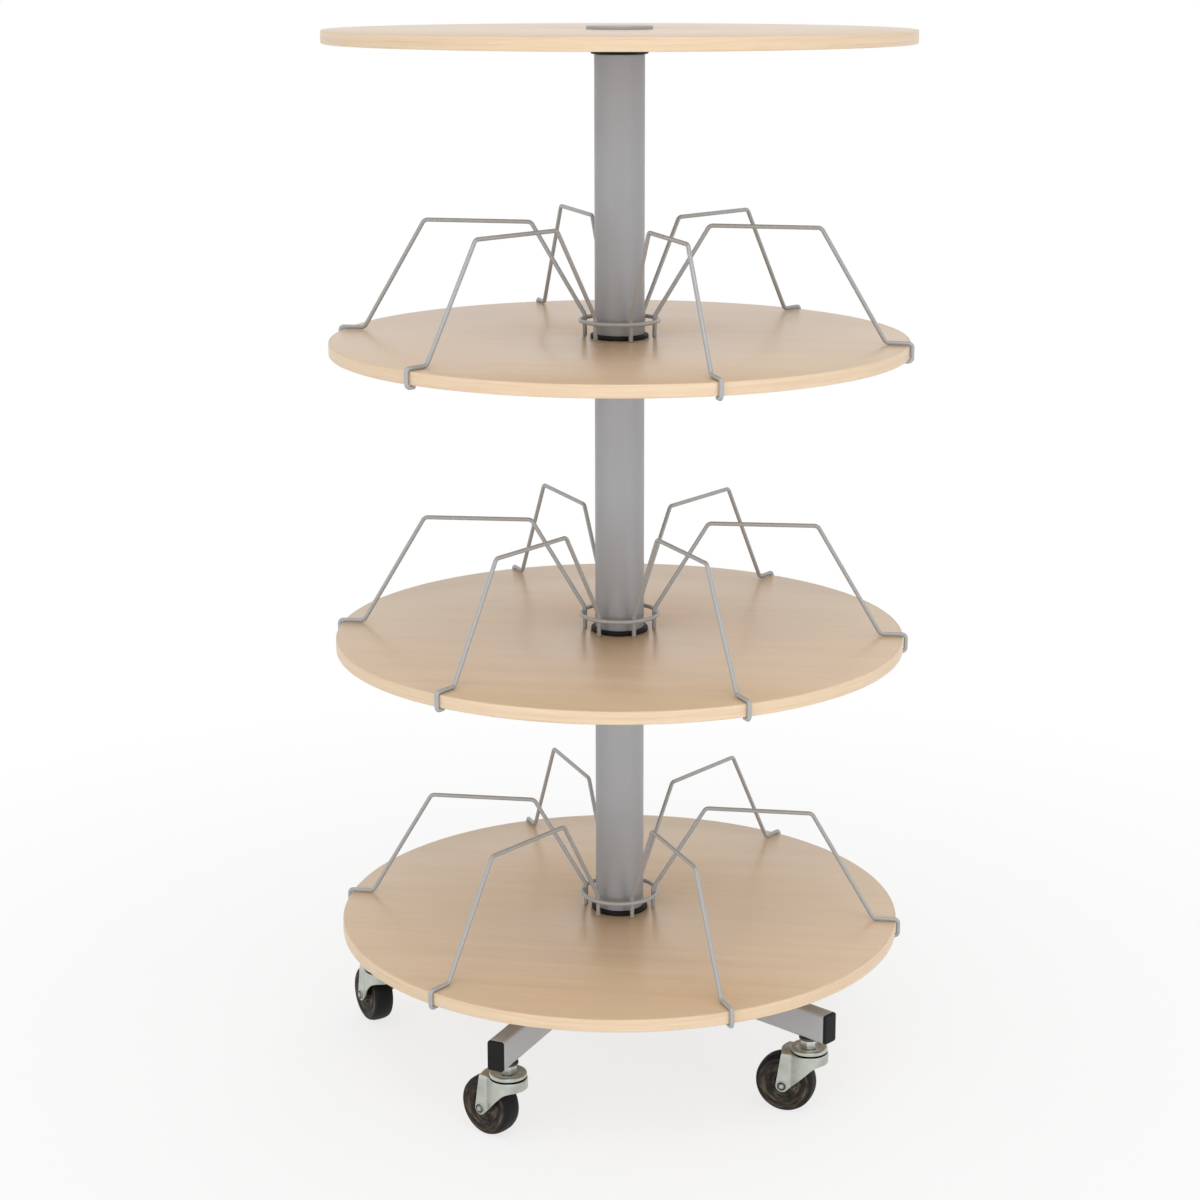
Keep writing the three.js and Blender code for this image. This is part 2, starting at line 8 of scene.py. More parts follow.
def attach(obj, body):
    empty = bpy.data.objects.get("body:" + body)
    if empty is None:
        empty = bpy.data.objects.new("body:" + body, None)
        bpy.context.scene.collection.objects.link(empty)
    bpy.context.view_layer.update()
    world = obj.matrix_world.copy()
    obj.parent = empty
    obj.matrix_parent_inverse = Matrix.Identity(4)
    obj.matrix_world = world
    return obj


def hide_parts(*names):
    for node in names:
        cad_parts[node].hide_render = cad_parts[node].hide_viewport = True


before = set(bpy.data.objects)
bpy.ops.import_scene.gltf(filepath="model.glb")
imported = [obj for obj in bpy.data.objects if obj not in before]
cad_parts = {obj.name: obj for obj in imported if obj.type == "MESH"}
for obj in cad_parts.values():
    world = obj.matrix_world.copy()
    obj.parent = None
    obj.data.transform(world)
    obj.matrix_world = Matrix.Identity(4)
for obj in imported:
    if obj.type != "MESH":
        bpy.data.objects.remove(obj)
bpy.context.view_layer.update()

# Shapes are written in millimetres and scaled once, when a mesh is made.
MM = 0.001
BOARD_SEGMENTS = 192
TUBE_SEGMENTS = 96
STEM_SEGMENTS = 72
FIT = 0.3
RUNNING_GAP = 0.5

# Boards
TIERS = ("lower", "middle", "upper")
TIER_TURNS = (0.0, 2.8, -3.3)
TIER_PITCH = 352.0
LOWER_TOP = 173.0
BOARD_TOPS = tuple(LOWER_TOP + TIER_PITCH * i for i in range(3))
TOP_BOARD = LOWER_TOP + TIER_PITCH * 3
BOARD_RADIUS = 337.5
BOARD_THICKNESS = 15.0
BOARD_BORE = 22.6
EDGING = 2.0
EDGING_ROUND = 1.6

# Wire dividers
DIVIDERS = 6
WIRE_RADIUS = 2.5
WIRE_SIDES = 14
WIRE_TOP = 132.0
WIRE_BEND = 7.0
BEND_CHORDS = 7
# A wire's end, as steps along it and shares of its width.
WIRE_END = ((0.0, 0.0), (0.0, 0.62), (0.12, 0.86), (0.4, 1.0))
OUTER_CORNER = 234.0
INNER_CORNER = 105.5
HOOK_TAIL = 12.0
HOOK_BEND = 4.5
FOOT_LENGTH = 30.0
POST_RADIUS = 41.5
POST_HEIGHT = 26.0
POST_BEND = 8.0
RING_RADIUS = 45.7
RING_HEIGHT = 20.5
RING_POINTS = 84
WELD_RADIUS = 43.5
WELD_SIZE = (2.2, 3.5, 3.1)

# Column
SLEEVE_RADIUS = 29.0
SLEEVE_BORE = 26.5
MAST_RADIUS = 16.0
MAST_BORE = 13.5
MAST_TOP = TOP_BOARD - 1.3
BUSH_BORE = 16.4
JOURNAL_RADIUS = 22.0
SPIGOT_RADIUS = 26.2
SPIGOT_LENGTH = 15.0
SEAT_RADIUS = 29.4
SEAT_STEP = 0.25
FOOT_RADIUS = 34.0
FOOT_HEIGHT = 4.0
HEAD_RADIUS = 33.0
HEAD_HEIGHT = 12.0
CAP_RADIUS = 38.0
CAP_HEIGHT = 4.0
CAP_SEAT = 38.3
CAP_RECESS = 1.0
CAP_BOTTOM = -0.7
CAP_PLUG_RADIUS = 12.8
CAP_PLUG_LENGTH = 15.0
CAP_GROOVE = (33.0, 32.2, 31.4)
CAP_GROOVE_DEPTH = 0.25

# Base
ARM_ANGLES = tuple(-88.3 + 72.0 * i for i in range(5))
ARM_BOTTOM = 94.6
ARM_END = 326.3
ARM_SIZE = (20.0, 35.0)
ARM_CORNER = 3.0
ARM_WALL = 1.5
ARM_EASE = 0.3
HUB_BOTTOM = ARM_BOTTOM - 4.0
HUB_TOP = 145.2
HUB_FLOOR = 6.0
SEAM_RADIUS = 1.9
SEAM_STEP = 1.5
SEAM_RIPPLE = 0.14
SEAM_RIPPLE_TURN = 2.4

# Castors
CASTOR_TURNS = (-140.9, -120.8, -101.9, -40.0, 60.0)
CASTOR_RADIUS = 299.0
AXLE_HEIGHT = 35.0
TRAIL = 27.0
CROWN_TOP = 76.5
RACE_TOP = 81.6
RACE_BOTTOM = 77.1
RACE_RADIUS = 21.5
STEM_RADIUS = 5.0
STEM_TOP = 104.1
STEM_BOTTOM = 71.3
NECK_RADIUS = 6.0
NUT_FLAT = 8.5
NUT_BORE = 5.2
NUT_SIDES = 72
NUT_BOTTOM = RACE_TOP - 0.9
NUT_TOP = ARM_BOTTOM - 3.3
NUT_FLANGE = 12.0
LEG_HALF = 18.25
LEG_RADIUS = 7.5
LEG_ARC = 135.0
LEG_ARC_STEPS = 10
LEG_ROWS = 10
CROWN_RADIUS = 22.5
CROWN_STEPS = 30
CREASE = 15.0
TONGUE_END = 28.0
TONGUE_BULGE = 4.0
TONGUE_STEPS = 12
SHOULDER = 3.6
SHOULDER_ROWS = 6
SKIRT = 12.5
SWEEP = 8.0
SHEET = 2.5
SHEET_EASE = 0.45
RIVET_RADIUS = 4.0
COLLAR_RADIUS = 6.0
WHEEL_RADIUS = 35.0
WHEEL_BORE = 4.4


# Meshes

def plan(degrees):
    """A direction in plan, measured from -Y towards +X."""
    angle = math.radians(degrees)
    return Vector((math.sin(angle), -math.cos(angle), 0.0))


def rounded(corners, radii, chords, loop=False):
    """A path through corners, each rounded to its radius."""
    path = []
    last = len(corners) - 1
    for i, corner in enumerate(corners):
        if radii[i] <= 0 or (not loop and i in (0, last)):
            path.append(corner)
            continue
        before = (corner - corners[i - 1]).normalized()
        after = (corners[(i + 1) % len(corners)] - corner).normalized()
        turn = before.angle(after)
        inward = (after - before * after.dot(before)).normalized()
        start = corner - before * (radii[i] * math.tan(turn / 2))
        for k in range(chords + 1):
            angle = turn * k / chords
            along = before * (radii[i] * math.sin(angle))
            path.append(start + along + inward * (radii[i] * (1 - math.cos(angle))))
    return path


def lathe(points, segments, loop=True, chords=4):
    """A profile of (radius, height, fillet) turned about Z."""
    corners = [Vector((r, z)) for r, z, _ in points]
    profile = rounded(corners, [fillet for _, _, fillet in points], chords, loop)
    verts, rings = [], []
    for r, z in profile:
        if r < 1e-6:
            rings.append([len(verts)] * segments)
            verts.append((0.0, 0.0, z))
            continue
        rings.append([len(verts) + i for i in range(segments)])
        for i in range(segments):
            angle = 2 * math.pi * i / segments
            verts.append((r * math.cos(angle), r * math.sin(angle), z))
    pairs = list(zip(rings, rings[1:]))
    if loop:
        pairs.append((rings[-1], rings[0]))
    return verts, [face for a, b in pairs for face in strip(a, b)]


def strip(a, b, loop=True):
    """Quads between two rows of vertices, with repeated poles dropped."""
    count = len(a) if loop else len(a) - 1
    faces = []
    for i in range(count):
        j = (i + 1) % len(a)
        face = list(dict.fromkeys((a[i], a[j], b[j], b[i])))
        if len(face) > 2:
            faces.append(face)
    return faces


def sweep(path, radius, sides, loop=False, ripple=0.0):
    """A round wire along a path, with eased ends, or a closed hoop that may ripple."""
    count = len(path)
    verts, rings = [], []
    normal = None
    for i, point in enumerate(path):
        ahead = path[(i + 1) % count] if loop or i < count - 1 else point
        behind = path[i - 1] if loop or i > 0 else point
        tangent = (ahead - behind).normalized()
        if normal is None:
            normal = tangent.orthogonal()
        normal = (normal - tangent * normal.dot(tangent)).normalized()
        side = tangent.cross(normal)
        steps = [(0.0, 1.0)]
        if not loop and i == 0:
            steps = WIRE_END
        if not loop and i == count - 1:
            steps = [(-shift, scale) for shift, scale in reversed(WIRE_END)]
        for shift, scale in steps:
            centre = point + tangent * (shift * radius)
            if scale == 0.0:
                rings.append([len(verts)] * sides)
                verts.append(tuple(centre))
                continue
            size = radius * scale * (1 + ripple * math.sin(SEAM_RIPPLE_TURN * i))
            rings.append([len(verts) + k for k in range(sides)])
            for k in range(sides):
                angle = 2 * math.pi * k / sides
                spoke = normal * math.cos(angle) + side * math.sin(angle)
                verts.append(tuple(centre + spoke * size))
    pairs = list(zip(rings, rings[1:]))
    if loop:
        pairs.append((rings[-1], rings[0]))
    return verts, [face for a, b in pairs for face in strip(a, b)]


def outline(width, height, corner, chords):
    """A rounded rectangle across the arm, as (y, z) about its centre."""
    y, z = width / 2, height / 2
    corners = [Vector(p) for p in ((y, -z), (y, z), (-y, z), (-y, -z))]
    return rounded(corners, [corner] * 4, chords, loop=True)


def moved(shape, matrix):
    verts, faces = shape
    return [tuple(matrix @ Vector(v)) for v in verts], faces


def joined(*shapes):
    verts, faces = [], []
    for more_verts, more_faces in shapes:
        start = len(verts)
        verts += more_verts
        faces += [[start + i for i in face] for face in more_faces]
    return verts, faces


def make_mesh(name, shape, material, sharp=38.0):
    """A smooth mesh in metres, faces outwards, with edges sharper than an angle kept."""
    verts, faces = shape
    mesh = bpy.data.meshes.new(name)
    mesh.from_pydata([Vector(v) * MM for v in verts], [], faces)
    bm = bmesh.new()
    bm.from_mesh(mesh)
    bmesh.ops.recalc_face_normals(bm, faces=bm.faces)
    bm.to_mesh(mesh)
    bm.free()
    mesh.polygons.foreach_set("use_smooth", [True] * len(mesh.polygons))
    mesh.set_sharp_from_angle(angle=math.radians(sharp))
    mesh.materials.append(material)
    return mesh


def keep_own_frame(mesh):
    """Stores each point as it lies in the part's own frame, for shading that turns with it."""
    points = [0.0] * (3 * len(mesh.vertices))
    mesh.vertices.foreach_get("co", points)
    mesh.attributes.new("own_frame", "FLOAT_VECTOR", "POINT").data.foreach_set("vector", points)


def turned(mesh, matrix):
    """A copy of a mesh, moved to its place in the frame."""
    copy = mesh.copy()
    copy.transform(matrix)
    return copy


def place(name, mesh, body, nodes):
    """Puts a finished mesh in the frame in place of its CAD nodes."""
    piece = bpy.data.objects.new(name, mesh)
    bpy.context.scene.collection.objects.link(piece)
    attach(piece, body)
    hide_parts(*nodes)


# Materials

# Near-black painted shade for the shadowed gap under the castor's race plate.
UNDER_RACE_SHADE = (0.014, 0.013, 0.012)
ZINC_METAL = 0.92
COAT_METAL = 0.25
# A Mix node's sockets for colours: its factor, its two colours and its result.
MIX_INPUTS = (0, 6, 7)
MIX_RESULT = 2


class Surface:
    """A procedural material built on one Principled shader."""

    def __init__(self, name, metallic=0.0, specular=0.5, own_frame=False):
        self.material = bpy.data.materials.new(name)
        self.material.use_nodes = True
        self.tree = self.material.node_tree
        self.shader = self.tree.nodes["Principled BSDF"]
        self.shader.inputs["Metallic"].default_value = metallic
        self.shader.inputs["Specular IOR Level"].default_value = specular
        if own_frame:
            stored = self.tree.nodes.new("ShaderNodeAttribute")
            stored.attribute_name = "own_frame"
            self.coords = stored.outputs["Vector"]
        else:
            self.coords = self.tree.nodes.new("ShaderNodeTexCoord").outputs["Object"]

    def link(self, source, target):
        self.tree.links.new(source, target)

    def feed(self, socket, value):
        """Sets a socket to a number or colour, or links it."""
        if isinstance(value, (int, float)):
            socket.default_value = value
        elif isinstance(value, tuple):
            socket.default_value = (*value, 1.0)
        else:
            self.link(value, socket)

    def scaled(self, scale, vector=None):
        node = self.tree.nodes.new("ShaderNodeMapping")
        node.inputs["Scale"].default_value = scale
        self.link(vector or self.coords, node.inputs["Vector"])
        return node.outputs["Vector"]

    def noise(self, vector, scale=1.0, detail=4.0, roughness=0.55, distortion=0.0):
        node = self.tree.nodes.new("ShaderNodeTexNoise")
        node.inputs["Scale"].default_value = scale
        node.inputs["Detail"].default_value = detail
        node.inputs["Roughness"].default_value = roughness
        node.inputs["Distortion"].default_value = distortion
        self.link(vector, node.inputs["Vector"])
        return node.outputs["Fac"]

    def cells(self, vector, scale):
        node = self.tree.nodes.new("ShaderNodeTexVoronoi")
        node.inputs["Scale"].default_value = scale
        self.link(vector, node.inputs["Vector"])
        return node.outputs["Color"]

    def math(self, operation, a, b=None):
        node = self.tree.nodes.new("ShaderNodeMath")
        node.operation = operation
        for socket, value in zip(node.inputs, (a, b)):
            if value is not None:
                self.feed(socket, value)
        return node.outputs["Value"]

    def length(self, a, b):
        square = self.math("ADD", self.math("MULTIPLY", a, a), self.math("MULTIPLY", b, b))
        return self.math("SQRT", square)

    def axes(self, vector=None):
        node = self.tree.nodes.new("ShaderNodeSeparateXYZ")
        self.link(vector or self.coords, node.inputs["Vector"])
        return node.outputs

    def vector(self, x, y, z):
        node = self.tree.nodes.new("ShaderNodeCombineXYZ")
        for socket, value in zip(node.inputs, (x, y, z)):
            self.feed(socket, value)
        return node.outputs["Vector"]

    def span(self, value, low, high, to_low, to_high):
        """Maps low to high onto to_low to to_high, held at both ends."""
        node = self.tree.nodes.new("ShaderNodeMapRange")
        limits = {"From Min": low, "From Max": high, "To Min": to_low, "To Max": to_high}
        for name, number in limits.items():
            node.inputs[name].default_value = number
        self.link(value, node.inputs["Value"])
        return node.outputs["Result"]

    def ramp(self, value, *stops):
        """A colour from stops of (position, colour)."""
        node = self.tree.nodes.new("ShaderNodeValToRGB")
        elements = node.color_ramp.elements
        while len(elements) < len(stops):
            elements.new(0.5)
        for element, (position, colour) in zip(elements, stops):
            element.position = position
            element.color = (*colour, 1.0)
        self.link(value, node.inputs["Fac"])
        return node.outputs["Color"]

    def mix(self, factor, a, b, blend="MIX"):
        node = self.tree.nodes.new("ShaderNodeMix")
        node.data_type = "RGBA"
        node.blend_type = blend
        for index, value in zip(MIX_INPUTS, (factor, a, b)):
            self.feed(node.inputs[index], value)
        return node.outputs[MIX_RESULT]

    def colour(self, source):
        self.link(source, self.shader.inputs["Base Color"])

    def rough(self, source):
        self.link(source, self.shader.inputs["Roughness"])

    def bump(self, height, strength, distance):
        node = self.tree.nodes.new("ShaderNodeBump")
        node.inputs["Strength"].default_value = strength
        node.inputs["Distance"].default_value = distance
        self.link(height, node.inputs["Height"])
        self.link(node.outputs["Normal"], self.shader.inputs["Normal"])


def laminate_material():
    """Light maple laminate: straight fine grain along X, with slow tone changes."""
    s = Surface("light_maple_laminate", specular=0.6)
    bands = s.noise(s.scaled((2.0, 34.0, 6.0)), detail=5.0, roughness=0.6, distortion=0.25)
    lines = s.noise(s.scaled((9.0, 330.0, 6.0)), detail=3.0, roughness=0.65)
    pores = s.noise(s.scaled((55.0, 1100.0, 6.0)), detail=2.0, roughness=0.5)
    drift = s.noise(s.scaled((1.3, 2.6, 6.0)), detail=2.0)
    tone = s.math("ADD", s.math("MULTIPLY", bands, 0.42), s.math("MULTIPLY", lines, 0.30))
    tone = s.math("ADD", tone, s.math("MULTIPLY", drift, 0.28))
    base = s.ramp(
        tone,
        (0.30, (0.640, 0.462, 0.290)),
        (0.48, (0.724, 0.538, 0.350)),
        (0.70, (0.786, 0.604, 0.415)),
    )
    flecks = s.span(pores, 0.60, 0.72, 0.0, 0.18)
    s.colour(s.mix(flecks, base, (0.500, 0.345, 0.212)))
    s.rough(s.span(bands, 0.25, 0.75, 0.28, 0.32))
    s.bump(lines, strength=0.04, distance=0.0002)
    return s.material


def edging_material():
    """Edging strip: grain that runs round the rim, with one butt joint at the back."""
    s = Surface("light_edging_strip")
    x, y, z = s.axes()
    angle = s.math("ARCTAN2", x, s.math("MULTIPLY", y, -1.0))
    length = s.math("MULTIPLY", angle, BOARD_RADIUS * MM)
    along = s.vector(length, z, 0.0)
    bands = s.noise(s.scaled((5.0, 210.0, 1.0), along), detail=4.0, roughness=0.6, distortion=0.2)
    lines = s.noise(s.scaled((22.0, 1300.0, 1.0), along), detail=2.0, roughness=0.6)
    tone = s.math("ADD", s.math("MULTIPLY", bands, 0.6), s.math("MULTIPLY", lines, 0.4))
    base = s.ramp(
        tone,
        (0.32, (0.700, 0.512, 0.330)),
        (0.50, (0.790, 0.606, 0.418)),
        (0.70, (0.828, 0.664, 0.482)),
    )
    joint = s.math("GREATER_THAN", s.math("ABSOLUTE", angle), math.pi - 0.0009)
    s.colour(s.mix(joint, base, (0.30, 0.20, 0.12)))
    s.rough(s.span(lines, 0.25, 0.75, 0.36, 0.46))
    s.bump(lines, strength=0.10, distance=0.0002)
    return s.material


def coat_material(name, colour, roughness, flake):
    """Satin powder coat: a fine skin, small flakes and slow wear in the gloss."""
    s = Surface(name, COAT_METAL)
    skin = s.noise(s.coords, scale=1500.0, detail=3.0)
    specks = s.noise(s.coords, scale=3800.0, detail=1.0)
    drift = s.noise(s.coords, scale=16.0, detail=3.0)
    dark = tuple(c * (1 - flake) for c in colour)
    light = tuple(min(1.0, c * (1 + flake)) for c in colour)
    base = s.ramp(specks, (0.30, dark), (0.5, colour), (0.72, light))
    s.colour(s.mix(s.span(drift, 0.3, 0.7, 0.0, 0.12), base, dark))
    s.rough(s.span(drift, 0.25, 0.75, roughness - 0.05, roughness + 0.07))
    s.bump(skin, strength=0.14, distance=0.00012)
    return s.material


def plastic_material():
    """Black moulded plastic with a fine spark-eroded grain."""
    s = Surface("black_moulded_plastic", specular=0.2)
    grain = s.noise(s.coords, scale=1900.0, detail=2.0)
    drift = s.noise(s.coords, scale=45.0, detail=3.0)
    s.colour(s.ramp(drift, (0.3, (0.007, 0.007, 0.007)), (0.7, (0.013, 0.013, 0.013))))
    s.rough(s.span(drift, 0.25, 0.75, 0.48, 0.60))
    s.bump(grain, strength=0.22, distance=0.00015)
    return s.material


def zinc_coat(s):
    """Bright zinc plate with a faint green-grey cast, light spangle and handling marks."""
    spangle = s.cells(s.coords, 320.0)
    stain = s.noise(s.coords, scale=38.0, detail=4.0, roughness=0.55)
    rub = s.noise(s.scaled((900.0, 900.0, 140.0)), detail=2.0)
    base = s.ramp(
        stain,
        (0.30, (0.420, 0.440, 0.395)),
        (0.52, (0.530, 0.552, 0.500)),
        (0.75, (0.630, 0.648, 0.592)),
    )
    s.rough(s.span(stain, 0.25, 0.75, 0.38, 0.26))
    s.bump(rub, strength=0.06, distance=0.0001)
    return s.mix(0.08, base, spangle, "SOFT_LIGHT")


def stem_material():
    """Zinc plate, with near-black painted shade on the ball race below the plate's rim."""
    s = Surface("zinc_plate_stem", ZINC_METAL)
    # Painted shade: the race below its rim is coloured near black, where the gap lies in shadow.
    race = s.math("LESS_THAN", s.axes()[2], (RACE_BOTTOM + 0.3) * MM)
    s.colour(s.mix(race, zinc_coat(s), UNDER_RACE_SHADE))
    return s.material


def fork_material():
    """Zinc plate, with painted shade along the fold between leg and web, and near-black painted
    shade under the race.
    """
    s = Surface("zinc_plate_fork", ZINC_METAL, own_frame=True)
    x, y, z = s.axes()
    # Painted shade along the fold: darkest at the crease, fading over about 11 mm across the web
    # and 2 mm onto the leg.
    fold = s.math("SUBTRACT", x, CREASE * MM)
    web = s.span(fold, -0.011, -0.0004, 0.0, 0.34)
    leg = s.span(fold, 0.0, 0.0022, 0.42, 0.0)
    shade = s.math("MINIMUM", web, leg)
    side = s.math("GREATER_THAN", s.math("ABSOLUTE", y), 0.0150)
    shade = s.math("MULTIPLY", shade, side)
    plate = s.mix(shade, zinc_coat(s), (0.120, 0.118, 0.105))
    # Painted shade, near black, on the crown's shoulder under the race plate's rim.
    radius = s.length(x, y)
    inside = s.math("LESS_THAN", radius, (RACE_RADIUS + 0.1) * MM)
    high = s.math("GREATER_THAN", z, (CROWN_TOP - 1.4) * MM)
    s.colour(s.mix(s.math("MULTIPLY", inside, high), plate, UNDER_RACE_SHADE))
    return s.material


def nut_material():
    """Zinc plate, with painted shade on the flange close under the arm."""
    s = Surface("zinc_plate_nut", ZINC_METAL)
    # Painted shade: the flange is coloured dark where the arm above shades it.
    flange = s.math("GREATER_THAN", s.axes()[2], (NUT_TOP + 0.1) * MM)
    bright = s.mix(0.45, zinc_coat(s), (0.90, 0.90, 0.88))
    s.colour(s.mix(flange, bright, (0.100, 0.099, 0.094)))
    return s.material


def rivet_material():
    """Zinc plate with painted shade in the groove round the domed head, and a painted highlight
    at the head's centre over its darker grey, about the axle on Y.
    """
    s = Surface("zinc_plate_rivet", ZINC_METAL, own_frame=True)
    x, _, z = s.axes()
    radius = s.length(x, z)
    # Painted shade: a dark ring where the groove round the head lies in shadow.
    groove = s.math("LESS_THAN", s.math("ABSOLUTE", s.math("SUBTRACT", radius, 0.0045)), 0.0008)
    coat = zinc_coat(s)
    # The head's own darker grey, brightened to plain zinc at its centre as a painted highlight.
    dome_grey_and_highlight = s.mix(s.span(radius, 0.0008, 0.0034, 0.0, 1.0), coat, (0.210, 0.212, 0.200))
    head = s.mix(s.math("LESS_THAN", radius, RIVET_RADIUS * MM), coat, dome_grey_and_highlight)
    s.colour(s.mix(groove, head, (0.085, 0.082, 0.074)))
    return s.material


def tube_material():
    """Plain drawn steel tube with lengthwise lines."""
    s = Surface("drawn_steel_tube", metallic=0.9)
    lines = s.noise(s.scaled((700.0, 700.0, 9.0)), detail=3.0)
    s.colour(s.ramp(lines, (0.3, (0.22, 0.225, 0.23)), (0.7, (0.33, 0.335, 0.34))))
    s.rough(s.span(lines, 0.25, 0.75, 0.33, 0.48))
    s.bump(lines, strength=0.08, distance=0.0001)
    return s.material


def tyre_material():
    """Solid tyre: a dusty brown turned sidewall and a black worn tread, about the axle on Y."""
    s = Surface("solid_rubber_tyre", specular=0.25, own_frame=True)
    x, _, z = s.axes()
    radius = s.math("MAXIMUM", s.length(x, z), 0.001)
    across = s.math("MULTIPLY", s.math("DIVIDE", x, radius), 1.5)
    upright = s.math("MULTIPLY", s.math("DIVIDE", z, radius), 1.5)
    turns = s.vector(across, upright, s.math("MULTIPLY", radius, 230.0))
    rings = s.noise(turns, detail=2.0, roughness=0.5)
    dust = s.noise(s.coords, scale=95.0, detail=5.0, roughness=0.65)
    grit = s.noise(s.coords, scale=1400.0, detail=2.0)
    tone = s.math("ADD", s.math("MULTIPLY", rings, 0.75), s.math("MULTIPLY", dust, 0.25))
    wall = s.ramp(
        tone,
        (0.40, (0.008, 0.007, 0.006)),
        (0.52, (0.036, 0.028, 0.020)),
        (0.68, (0.136, 0.104, 0.075)),
    )
    tread = s.ramp(dust, (0.35, (0.004, 0.004, 0.004)), (0.70, (0.011, 0.010, 0.010)))
    edge = s.span(radius, 0.0300, 0.0316, 0.0, 1.0)
    s.colour(s.mix(edge, wall, tread))
    s.rough(s.span(dust, 0.25, 0.75, 0.50, 0.70))
    s.bump(s.math("ADD", rings, grit), strength=0.25, distance=0.0002)
    return s.material


laminate = laminate_material()
edging = edging_material()
silver = coat_material("silver_powder_coat", (0.400, 0.417, 0.448), roughness=0.48, flake=0.08)
silver_base = coat_material("silver_base_coat", (0.462, 0.472, 0.486), roughness=0.45, flake=0.08)
grey_wire = coat_material("grey_wire_coat", (0.425, 0.435, 0.444), roughness=0.40, flake=0.06)
plastic = plastic_material()
stem_zinc = stem_material()
nut_zinc = nut_material()
rivet_zinc = rivet_material()
fork_zinc = fork_material()
drawn_tube = tube_material()
tyre = tyre_material()


# Boards and edging

def board_shape(top, bore, seat=None):
    """A round board, with a recess for the cover cap where a seat is given."""
    rim = BOARD_RADIUS - EDGING - 0.05
    bottom = top - BOARD_THICKNESS
    points = [(bore, bottom, 0.4), (rim, bottom, 0.15), (rim, top, 0.15)]
    if seat:
        points += [(seat, top, 0.2), (seat, top - CAP_RECESS, 0.0), (bore, top - CAP_RECESS, 0.3)]
    else:
        points += [(bore, top, 0.4)]
    return lathe(points, BOARD_SEGMENTS, chords=2)


def edging_shape(top):
    """The strip round a board's rim, with rounded edges."""
    bottom = top - BOARD_THICKNESS
    inner = BOARD_RADIUS - EDGING
    outer = BOARD_RADIUS - 0.1
    points = [
        (inner, bottom, 0.0),
        (outer, bottom, EDGING_ROUND),
        (outer, top, EDGING_ROUND),
        (inner, top, 0.0),
    ]
    return lathe(points, BOARD_SEGMENTS, chords=5)


# Wire dividers

def divider_path(direction, top):
    """One wire's centre line, from the hook under the rim to the foot of its post."""
    hook = BOARD_RADIUS + FIT + WIRE_RADIUS
    below = -BOARD_THICKNESS - FIT - WIRE_RADIUS
    foot = FIT + WIRE_RADIUS
    profile = (
        (hook - HOOK_TAIL, below, 0.0),
        (hook, below, HOOK_BEND),
        (hook, foot, HOOK_BEND),
        (hook - FOOT_LENGTH, foot, WIRE_BEND),
        (OUTER_CORNER, WIRE_TOP, WIRE_BEND),
        (INNER_CORNER, WIRE_TOP, WIRE_BEND),
        (POST_RADIUS, POST_HEIGHT, POST_BEND),
        (POST_RADIUS, FIT, 0.0),
    )
    corners = [direction * r + Vector((0.0, 0.0, top + z)) for r, z, _ in profile]
    return rounded(corners, [bend for _, _, bend in profile], BEND_CHORDS)


def weld_bead(direction, top):
    """A small nugget where a post meets the ring."""
    profile = ((0.0, -1.0), (0.62, -0.78), (1.0, 0.0), (0.62, 0.78), (0.0, 1.0))
    ball = lathe([(r, z, 0.0) for r, z in profile], 12, loop=False)
    turn = Matrix.Rotation(math.atan2(direction.y, direction.x), 4, "Z")
    size = Matrix.Diagonal((*WELD_SIZE, 1.0))
    centre = Matrix.Translation(direction * WELD_RADIUS + Vector((0.0, 0.0, top + RING_HEIGHT)))
    return moved(ball, centre @ turn @ size)


def dividers_shape(turn, top):
    """A tier's wires, welded to one ring round the column."""
    level = Vector((0.0, 0.0, top + RING_HEIGHT))
    ring = [plan(360.0 * i / RING_POINTS) * RING_RADIUS + level for i in range(RING_POINTS)]
    shapes = [sweep(ring, WIRE_RADIUS, WIRE_SIDES, loop=True)]
    for k in range(DIVIDERS):
        direction = plan(360.0 / DIVIDERS * (k + 0.5) + turn)
        shapes.append(sweep(divider_path(direction, top), WIRE_RADIUS, WIRE_SIDES))
        shapes.append(weld_bead(direction, top))
    return joined(*shapes)


# Column

def tube_shape(radius, bore, bottom, top):
    points = [(bore, bottom, 0.5), (radius, bottom, 0.6), (radius, top, 0.6), (bore, top, 0.5)]
    return lathe(points, TUBE_SEGMENTS, chords=3)


def foot_bush_shape(top):
    """The journal that a board turns on, the flange over it and the spigot in the sleeve."""
    end = top - BOARD_THICKNESS - 0.2
    low = top + RUNNING_GAP
    high = low + FOOT_HEIGHT
    points = [
        (BUSH_BORE, end, 0.3),
        (JOURNAL_RADIUS, end, 0.6),
        (JOURNAL_RADIUS, low, 0.2),
        (FOOT_RADIUS, low, 0.6),
        (FOOT_RADIUS, high, 1.3),
        (SEAT_RADIUS, high, 0.0),
        (SEAT_RADIUS, high + SEAT_STEP, 0.0),
        (SPIGOT_RADIUS, high + SEAT_STEP, 0.0),
        (SPIGOT_RADIUS, high + SPIGOT_LENGTH, 1.0),
        (BUSH_BORE, high + SPIGOT_LENGTH, 0.5),
    ]
    return lathe(points, TUBE_SEGMENTS)


def head_bush_shape(top):
    """The collar that carries a board, with its spigot in the sleeve or hub below."""
    low = top - HEAD_HEIGHT
    points = [
        (BUSH_BORE, low - SPIGOT_LENGTH, 0.5),
        (SPIGOT_RADIUS, low - SPIGOT_LENGTH, 1.0),
        (SPIGOT_RADIUS, low - SEAT_STEP, 0.0),
        (SEAT_RADIUS, low - SEAT_STEP, 0.0),
        (SEAT_RADIUS, low, 0.0),
        (HEAD_RADIUS, low, 1.5),
        (HEAD_RADIUS, top, 0.7),
        (BUSH_BORE, top, 0.4),
    ]
    return lathe(points, TUBE_SEGMENTS)


